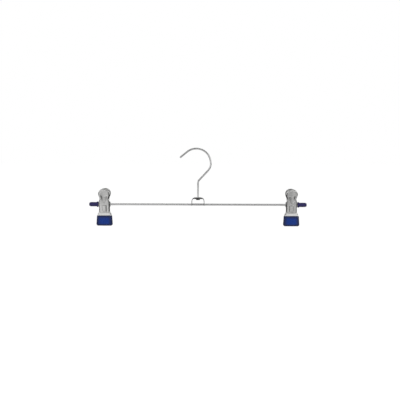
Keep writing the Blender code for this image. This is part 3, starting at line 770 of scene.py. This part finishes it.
def tab_arc():
    """(x, height) over the rounded top of the tab, inside its fold, left to right."""
    power = 2 / TAB_SQUARENESS
    half, rise = TAB_WIDTH / 2 - FOLD_RADIUS, TAB_TOP - FOLD_RADIUS - TAB_MIDDLE
    points = []
    for t in spread(math.pi - TAB_TURN, TAB_TURN, FACE_COLUMNS):
        across = math.copysign(abs(math.cos(t)) ** power, math.cos(t))
        points.append((half * across, TAB_MIDDLE + rise * math.sin(t) ** power))
    return points


def half_face(ear_inset):
    """Rows of (x, height) over the sheet inside its folds."""
    rows = half_rows(ear_inset)
    top_height, top_half = rows[-1]
    face = []
    for height, half in rows:
        share = min(max((height - NECK_HEIGHT) / (top_height - NECK_HEIGHT), 0.0), 1.0) ** 2
        line = []
        for column, (arc_x, arc_height) in enumerate(tab_arc()):
            across = 2 * column / FACE_COLUMNS - 1
            x = across * half + share * (arc_x - across * top_half)
            line.append((x, height + share * (arc_height - top_height)))
        face.append(line)
    return face


def face_rim(face):
    """The face's edge as (row, column) pairs in one loop."""
    last_row, last_column = len(face) - 1, len(face[0]) - 1
    loop = [(0, c) for c in range(last_column)] + [(r, last_column) for r in range(last_row)]
    loop += [(last_row, c) for c in range(last_column, 0, -1)]
    return loop + [(r, 0) for r in range(last_row, 0, -1)]


def fold_steps(height):
    """(reach, depth) of each line of the fold and its lip, at a height."""
    angle, lip = fold_at(height)
    steps = [
        (FOLD_RADIUS * math.sin(t), FOLD_RADIUS * (1 - math.cos(t)))
        for t in spread(0.0, angle, FOLD_STEPS)[1:]
    ]
    reach, depth = steps[-1]
    return steps + [
        (reach + length * math.cos(angle), depth + length * math.sin(angle))
        for length in spread(0.0, lip, LIP_STEPS)[1:]
    ]


def add_face(bm, face):
    """The outer face with its relief, as rows of vertices."""
    grid = [
        [bm.verts.new((x, -face_distance(h) - relief(x, h), h)) for x, h in line] for line in face
    ]
    for low, high in zip(grid, grid[1:]):
        for i in range(FACE_COLUMNS):
            bm.faces.new((low[i], low[i + 1], high[i + 1], high[i]))
    return grid


def add_folds(bm, face, grid):
    """The fold and lip round the face. Gives the ring of vertices at the sheet's edge."""
    loop = face_rim(face)
    spots = [Vector(face[r][c]) for r, c in loop]
    rings = [[grid[r][c] for r, c in loop]]
    rings += [[] for _ in range(FOLD_STEPS + LIP_STEPS)]
    for i, spot in enumerate(spots):
        along = spots[(i + 1) % len(spots)] - spots[i - 1]
        outward = Vector((along.y, -along.x)).normalized()
        for ring, (reach, depth) in zip(rings[1:], fold_steps(spot.y)):
            place = spot + outward * reach
            ring.append(bm.verts.new((place.x, depth - face_distance(place.y), place.y)))
    for inner, outer in zip(rings, rings[1:]):
        for i in range(len(loop)):
            j = (i + 1) % len(loop)
            bm.faces.new((inner[j], inner[i], outer[i], outer[j]))
    return rings[-1]


def add_inner_side(bm, edge):
    """The sheet's inner side, and the narrow faces along its edge."""
    bm.normal_update()
    skin, sheet = list(bm.faces), {}
    for vert in list(bm.verts):
        sheet[vert] = bm.verts.new(vert.co - vert.normal * SHEET)
    for patch in skin:
        bm.faces.new([sheet[vert] for vert in reversed(patch.verts)])
    for i in range(len(edge)):
        j = (i + 1) % len(edge)
        bm.faces.new((edge[j], edge[i], sheet[edge[i]], sheet[edge[j]]))


def half_mesh(ear_inset):
    """A clip half that faces -Y, with an ear inset of zero for the front half."""
    bm = bmesh.new()
    face = half_face(ear_inset)
    edge = add_folds(bm, face, add_face(bm, face))
    add_inner_side(bm, edge)
    mesh = bpy.data.meshes.new("clip_half")
    bm.to_mesh(mesh)
    bm.free()
    return mesh


def make_half(name, ear_inset, matrix):
    half = place_piece(name, half_mesh(ear_inset), matrix)
    round_edges(half, SHEET_EDGE)
    cut(half, rod_mesh("hole", -BODY_WIDTH, BODY_WIDTH, RIVET_HOLE), matrix)
    return half


# Grips

def grip_ring(height, inset):
    """One level of a grip as (x, y): a flat pad side, round corners and a crowned face."""
    share = (height - GRIP_BOTTOM) / (GRIP_TOP - GRIP_BOTTOM)
    half = between(GRIP_BOTTOM_WIDTH, GRIP_TOP_WIDTH, share) / 2 - inset
    pad = -(PAD_GAP / 2 + min(inset, PAD_ROUND))
    front = -(GRIP_FACE - inset)
    back, corner = GRIP_BACK_CORNER, GRIP_CORNER
    quarter = spread(0.0, math.pi / 2, FILLET_STEPS)
    right = [(half - back * (1 - math.sin(t)), pad - back * (1 - math.cos(t))) for t in quarter]
    right += [
        (half - corner * (1 - math.cos(t)), front + corner * (1 - math.sin(t))) for t in quarter
    ]
    edge_x = right[-1][0]
    face = [
        (x, front - GRIP_CROWN * (1 - (x / edge_x) ** 2))
        for x in spread(edge_x, -edge_x, GRIP_CROWN_STEPS)[1:-1]
    ]
    return right + face + [(-x, y) for x, y in reversed(right)]


def grip_mesh():
    """A boot over the jaw, without its pocket."""
    top, lip, foot, bottom = GRIP_TOP, GRIP_LIP_RADIUS, GRIP_FOOT_RADIUS, GRIP_BOTTOM
    levels = [
        (top - lip * (1 - math.sin(t)), lip * (1 - math.cos(t)))
        for t in spread(math.pi / 2, 0.0, FILLET_STEPS)
    ]
    levels += [(height, 0.0) for height in spread(top - lip, bottom + foot, GRIP_ROWS)[1:-1]]
    levels += [
        (bottom + foot * (1 - math.sin(t)), foot * (1 - math.cos(t)))
        for t in spread(0.0, math.pi / 2, 2 * FILLET_STEPS)
    ]
    bm = bmesh.new()
    rings = [[bm.verts.new((x, y, z)) for x, y in grip_ring(z, inset)] for z, inset in levels]
    close_rings(bm, rings)
    return mesh_from("grip", bm, GRIP_SHARP_ANGLE)


def make_grip(name, matrix):
    """A boot with the pocket that the jaw sits in."""
    grip = place_piece(name, grip_mesh(), matrix)
    half = JAW_WIDTH / 2 + BOOT_GAP
    low = (-half, -(FACE_AT_JAW + BOOT_GAP), JAW_BOTTOM - BOOT_GAP)
    high = (half, -(PAD_GAP / 2 + PAD_WALL), GRIP_TOP + SHEET)
    cut(grip, box_mesh("pocket", low, high), matrix)
    return grip


# Pivot and spring

def rivet_mesh():
    """A tube with a rounded flange at each end."""
    half, flange, edge = RIVET_HALF_LENGTH, RIVET_FLANGE_RADIUS, RIVET_FLANGE / 2
    inner = half - RIVET_FLANGE
    right = [(inner, RIVET_RADIUS), (inner, flange), (half, flange), (half, RIVET_BORE)]
    left = [(-x, r) for x, r in reversed(right)]
    radii = (edge / 2, edge / 2, edge, 2 * edge)
    return turned("pivot_rivet", rounded_profile(right + left, radii + radii[::-1]))


def leg_points(x, facing):
    """A straight spring leg from the coil to the inside of a tab, with a bent foot.

    Gives the angle at which the leg leaves the coil, and the leg's points from there outwards.
    """
    height = SPRING_LEG_HEIGHT
    lean = math.atan2(TAB_SPREAD - FACE_AT_BAR, TAB_TOP)
    sheet_y = face_distance(height) + relief(0.0, height) - SHEET / math.cos(lean)
    foot = Vector((sheet_y - (SEAT_GAP + SPRING_WIRE / 2) / math.cos(lean), height))
    turn = math.acos(COIL_RADIUS / foot.length)
    angle = math.atan2(foot.y, foot.x) - turn
    start = Vector((x, facing * COIL_RADIUS * math.cos(angle), COIL_RADIUS * math.sin(angle)))
    corner = Vector((x, facing * foot.x, height))
    end = corner - Vector((math.copysign(SPRING_FOOT, x), 0, 0))
    before = corner + (start - corner).normalized() * SPRING_FOOT_BEND
    after = corner + (end - corner).normalized() * SPRING_FOOT_BEND
    bend = interpolate_bezier(
        before, before.lerp(corner, QUARTER_HANDLE), after.lerp(corner, QUARTER_HANDLE), after,
        BEND_STEPS,
    )
    straight = [start.lerp(before, share) for share in spread(0.0, 1.0, LEG_STEPS)[:-1]]
    return angle, straight + bend + [end]


def spring_mesh():
    """Front leg, coil round the rivet, back leg, as one unbroken wire with cut ends."""
    half = COIL_LENGTH / 2
    front_angle, front_leg = leg_points(-half, -1)
    back_angle, back_leg = leg_points(half, 1)
    start = math.pi - front_angle
    turn = (start - back_angle) % (2 * math.pi)
    total = -(turn + 2 * math.pi * round(SPRING_TURNS - turn / (2 * math.pi)))
    count = round(abs(total) / (2 * math.pi) * CURL_POINTS)
    coil = []
    for i in range(1, count):
        angle = start + total * i / count
        x = between(-half, half, i / count)
        coil.append(Vector((x, COIL_RADIUS * math.cos(angle), COIL_RADIUS * math.sin(angle))))
    points = front_leg[::-1] + coil + back_leg
    radius = SPRING_WIRE / 2
    first = round_end(points[0], (points[0] - points[1]).normalized(), radius, SPRING_CUT_EDGE)
    last = round_end(points[-1], (points[-1] - points[-2]).normalized(), radius, SPRING_CUT_EDGE)
    line = first + [(point, radius) for point in points[1:-1]] + last[::-1]
    return tube_mesh("spring", line, SPRING_SIDES)


# Studio

def level_for(paint, shown, lit):
    """The shown strength for camera, glossy and transmission rays, and the lit one for others."""
    path = paint.tree.nodes.new("ShaderNodeLightPath")
    seen = path.outputs["Is Camera Ray"]
    for ray in ("Is Glossy Ray", "Is Transmission Ray"):
        seen = paint.node("ShaderNodeMath", {0: seen, 1: path.outputs[ray]}, operation="MAXIMUM")
    return paint.node("ShaderNodeMapRange", {"Value": seen, "To Min": lit, "To Max": shown})


def make_world():
    """White to look at, and grey as a light."""
    world = bpy.data.worlds.new("studio")
    bpy.context.scene.world = world
    world.use_nodes = True
    sky = Paint(world, "Background")
    sky.set(Color=(1, 1, 1, 1), Strength=level_for(sky, 1.0, AMBIENT))


def make_floor():
    bm = bmesh.new()
    bmesh.ops.create_grid(bm, x_segments=1, y_segments=1, size=FLOOR_REACH)
    floor = place_piece("floor", mesh_from("floor", bm), Matrix.Translation((0, 0, FLOOR_Z)))
    paint = new_paint("pale floor")
    paint.set(
        Base_Color=(FLOOR_TONE, FLOOR_TONE, FLOOR_TONE, 1), Roughness=FLOOR_ROUGHNESS,
        Specular_IOR_Level=0.0, Emission_Color=(1, 1, 1, 1),
        Emission_Strength=level_for(paint, FLOOR_GLOW, 0.0),
    )
    floor.data.materials.append(paint.owner)


def glow(name):
    """A material that only shines."""
    paint = new_paint(name)
    paint.set(Base_Color=(0, 0, 0, 1), Specular_IOR_Level=0.0, Emission_Color=(1, 1, 1, 1))
    return paint


def stage_reflector(card, paint):
    """The card shows in polished surfaces and nowhere else."""
    card.data.materials.append(paint.owner)
    card.visible_camera = False
    card.visible_diffuse = False
    card.visible_transmission = False
    card.visible_shadow = False


def make_card(name, place, target, size, level):
    """A flat reflector of one level that faces the target."""
    bm = bmesh.new()
    bmesh.ops.create_grid(bm, x_segments=1, y_segments=1, size=1)
    bmesh.ops.scale(bm, vec=(size[0] / 2, size[1] / 2, 1), verts=bm.verts)
    place, target = Vector(place), Vector(target)
    turn = (target - place).to_track_quat("-Z", "Y").to_matrix().to_4x4()
    card = place_piece(name, mesh_from(name, bm), Matrix.Translation(place) @ turn)
    paint = glow(name)
    paint.set(Emission_Strength=level)
    stage_reflector(card, paint)


def mat_rings(paint, place):
    """The mat's level by the distance from its middle."""
    outer = MAT_RINGS[-1][0]
    reach = paint.node("ShaderNodeVectorMath", {0: place}, output=1, operation="LENGTH")
    share = paint.node("ShaderNodeMath", {0: reach, 1: outer}, operation="DIVIDE")
    ramp = paint.tree.nodes.new("ShaderNodeValToRGB")
    paint.feed(ramp.inputs["Fac"], share)
    stops = ramp.color_ramp.elements
    for radius, _ in MAT_RINGS[1:-1]:
        stops.new(radius / outer)
    for stop, (_, level) in zip(stops, MAT_RINGS):
        stop.color = (level, level, level, 1)
    return ramp.outputs["Color"]


def make_mat():
    """A mat on the floor with rings of grey, lighter on the left, for faces that look down."""
    bm = bmesh.new()
    bmesh.ops.create_circle(bm, cap_ends=True, segments=MAT_SIDES, radius=MAT_RINGS[-1][0])
    spot = Matrix.Translation((0, 0, FLOOR_Z + MAT_LIFT))
    mat = place_piece("mat", mesh_from("mat", bm), spot)
    paint = glow("mat")
    place = paint.place()
    across = paint.node("ShaderNodeSeparateXYZ", {"Vector": place})
    side = paint.node("ShaderNodeMapRange", {
        "Value": across, "From Min": -MAT_BLEND, "From Max": MAT_BLEND,
        "To Min": 1 + MAT_SIDE_SHARE, "To Max": 1 - MAT_SIDE_SHARE,
    }, interpolation_type="SMOOTHSTEP")
    level = paint.node("ShaderNodeMath", {
        0: mat_rings(paint, place), 1: side,
    }, operation="MULTIPLY")
    paint.set(Emission_Strength=level)
    stage_reflector(mat, paint)


def make_lamp(name, place, watts):
    """A soft lamp, whose own shape doesn't show in the metal."""
    data = bpy.data.lights.new(name, "AREA")
    data.size = LAMP_SIZE
    data.energy = watts
    lamp = bpy.data.objects.new(name, data)
    lamp.location = place
    lamp.rotation_euler = (Vector(LAMP_AIM) - Vector(place)).to_track_quat("-Z", "Y").to_euler()
    lamp.visible_glossy = False
    bpy.context.scene.collection.objects.link(lamp)


# Finishes

def plated_metal(name, color, roughness, painted_shade_color=None, split=None):
    """Bright plating: cloudy roughness, a faint uneven surface and a slight change of tone.

    Below the split, a lower and an upper height on the piece, it has painted shade: the dark shade
    colour in place of the plating.
    """
    paint = new_paint(name)
    place = paint.place()
    plate = (*color, 1)
    # Painted shade: below the split heights the plating's colour turns to the dark shade colour.
    if painted_shade_color:
        height = paint.node("ShaderNodeSeparateXYZ", {"Vector": place}, output=2)
        share = paint.node("ShaderNodeMapRange", {
            "Value": height, "From Min": split[0], "From Max": split[1],
        })
        plate = paint.mix(share, (*painted_shade_color, 1), plate)
    clouds = paint.noise(place, *PLATE_CLOUDS)
    paint.set(
        Metallic=1.0,
        Base_Color=paint.shaded(plate, paint.noise(place, *PLATE_TONES), PLATE_DARKEST),
        Roughness=paint.clouded(roughness, clouds, PLATE_ROUGHNESS_SHARES),
        Normal=paint.bump(paint.noise(place, *PLATE_GRAIN), PLATE_BUMP),
    )
    return paint.owner


def unshaded_middle(paint, place):
    """1 over the middle of the grip, where it lies on the jaw's metal, 0 at its rims, which get
    painted shade.
    """
    inside = None
    for axis, both_sides, rim, full in GRIP_SHADE_FADES:
        spot = paint.node("ShaderNodeSeparateXYZ", {"Vector": place}, output=axis)
        if both_sides:
            spot = paint.node("ShaderNodeMath", {0: spot}, operation="ABSOLUTE")
        share = paint.node("ShaderNodeMapRange", {
            "Value": spot, "From Min": rim, "From Max": full,
        }, interpolation_type="SMOOTHSTEP")
        if inside is None:
            inside = share
        else:
            inside = paint.node("ShaderNodeMath", {0: inside, 1: share}, operation="MULTIPLY")
    return inside


def vinyl(name, color, roughness, painted_rim_shade=None):
    """Soft vinyl: slight mottling, satin sheen and a fine orange-peel surface."""
    paint = new_paint(name)
    place = paint.place()
    tint = (*color, 1)
    # Painted shade: the grip's colour darkens towards its rims.
    if painted_rim_shade:
        tint = paint.mix(unshaded_middle(paint, place), (*painted_rim_shade, 1), tint)
    clouds = paint.noise(place, *VINYL_CLOUDS)
    paint.set(
        Base_Color=paint.shaded(tint, clouds, VINYL_DARKEST),
        Roughness=paint.clouded(roughness, clouds, VINYL_ROUGHNESS_SHARES),
        Normal=paint.bump(paint.noise(place, *VINYL_PEEL), VINYL_BUMP),
        Specular_IOR_Level=VINYL_GLOSS,
    )
    return paint.owner


# Assembly

def stand_in(piece, node, body, material):
    """The piece takes the node's place on its body."""
    piece.data.materials.clear()
    piece.data.materials.append(material)
    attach(piece, body)
    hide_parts(node)


def make_frame_pieces():
    """The bar with its caps and bracket, and the hook."""
    at_bar = Matrix.Translation((0, 0, BAR_Z))
    bar = place_piece("crossbar_piece", bar_mesh(), at_bar)
    stand_in(bar, "crossbar", "bar_frame", BAR)
    for side, turn in (("left", math.pi), ("right", 0.0)):
        matrix = at_bar @ Matrix.Rotation(turn, 4, "Z")
        cap = place_piece(side + "_end_cap_piece", cap_mesh(), matrix)
        stand_in(cap, side + "_end_cap", "bar_frame", CAP)
    stand_in(make_bracket(), "swivel_bracket", "bar_frame", BRACKET)
    hook = place_piece("hook_piece", hook_mesh())
    stand_in(hook, "hook", "hook_wire", HOOK)


def make_clip(side, x):
    """A whole clip on the bar. Its spring winds between the two halves."""
    at_clip = Matrix.Translation((x, 0, BAR_Z))
    rivet = place_piece(side + "_rivet_piece", rivet_mesh(), at_clip)
    stand_in(rivet, side + "_pivot_rivet", side + "_clip_carrier", CLIP)
    for place, turn, inset in (("front", 0.0, 0.0), ("back", math.pi, INNER_EAR_INSET)):
        body = f"{side}_clip_{place}"
        matrix = at_clip @ Matrix.Rotation(turn, 4, "Z")
        half = make_half(f"{side}_{place}_jaw_piece", inset, matrix)
        stand_in(half, f"{side}_{place}_jaw", body, CLIP)
        grip = make_grip(f"{side}_{place}_grip_piece", matrix)
        stand_in(grip, f"{side}_{place}_grip", body, GRIP)
    spring = place_piece(side + "_spring_piece", spring_mesh(), at_clip)
    spring.data.materials.append(SPRING)
    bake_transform(spring)
    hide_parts(side + "_spring")


make_camera()
make_world()
make_floor()
for lamp_row in LAMPS:
    make_lamp(*lamp_row)
make_mat()
for card_row in CARDS:
    make_card(*card_row)

CLIP = plated_metal("clip plating", *CLIP_PLATING)
BAR = plated_metal("bar plating", *BAR_PLATING)
BRACKET = plated_metal("bracket plating", *BRACKET_PLATING)
# Painted shade: the hook's head under the bracket is coloured near-black from the bracket's
# underside down.
HEAD_SHADE_SPLIT = (BRACKET_UNDERSIDE, BRACKET_UNDERSIDE + SEAT_GAP)
HOOK = plated_metal("hook plating and painted head shade", *HOOK_PLATING, HOOK_HEAD_PAINTED_SHADE, HEAD_SHADE_SPLIT)
SPRING = plated_metal("spring wire", *SPRING_PLATING)
GRIP = vinyl("blue vinyl", *GRIP_VINYL, GRIP_RIM_PAINTED_SHADE)
CAP = vinyl("navy vinyl", *CAP_VINYL)
make_frame_pieces()
make_clip("left", -CLIP_X)
make_clip("right", CLIP_X)

bpy.context.scene.view_settings.view_transform = "Standard"
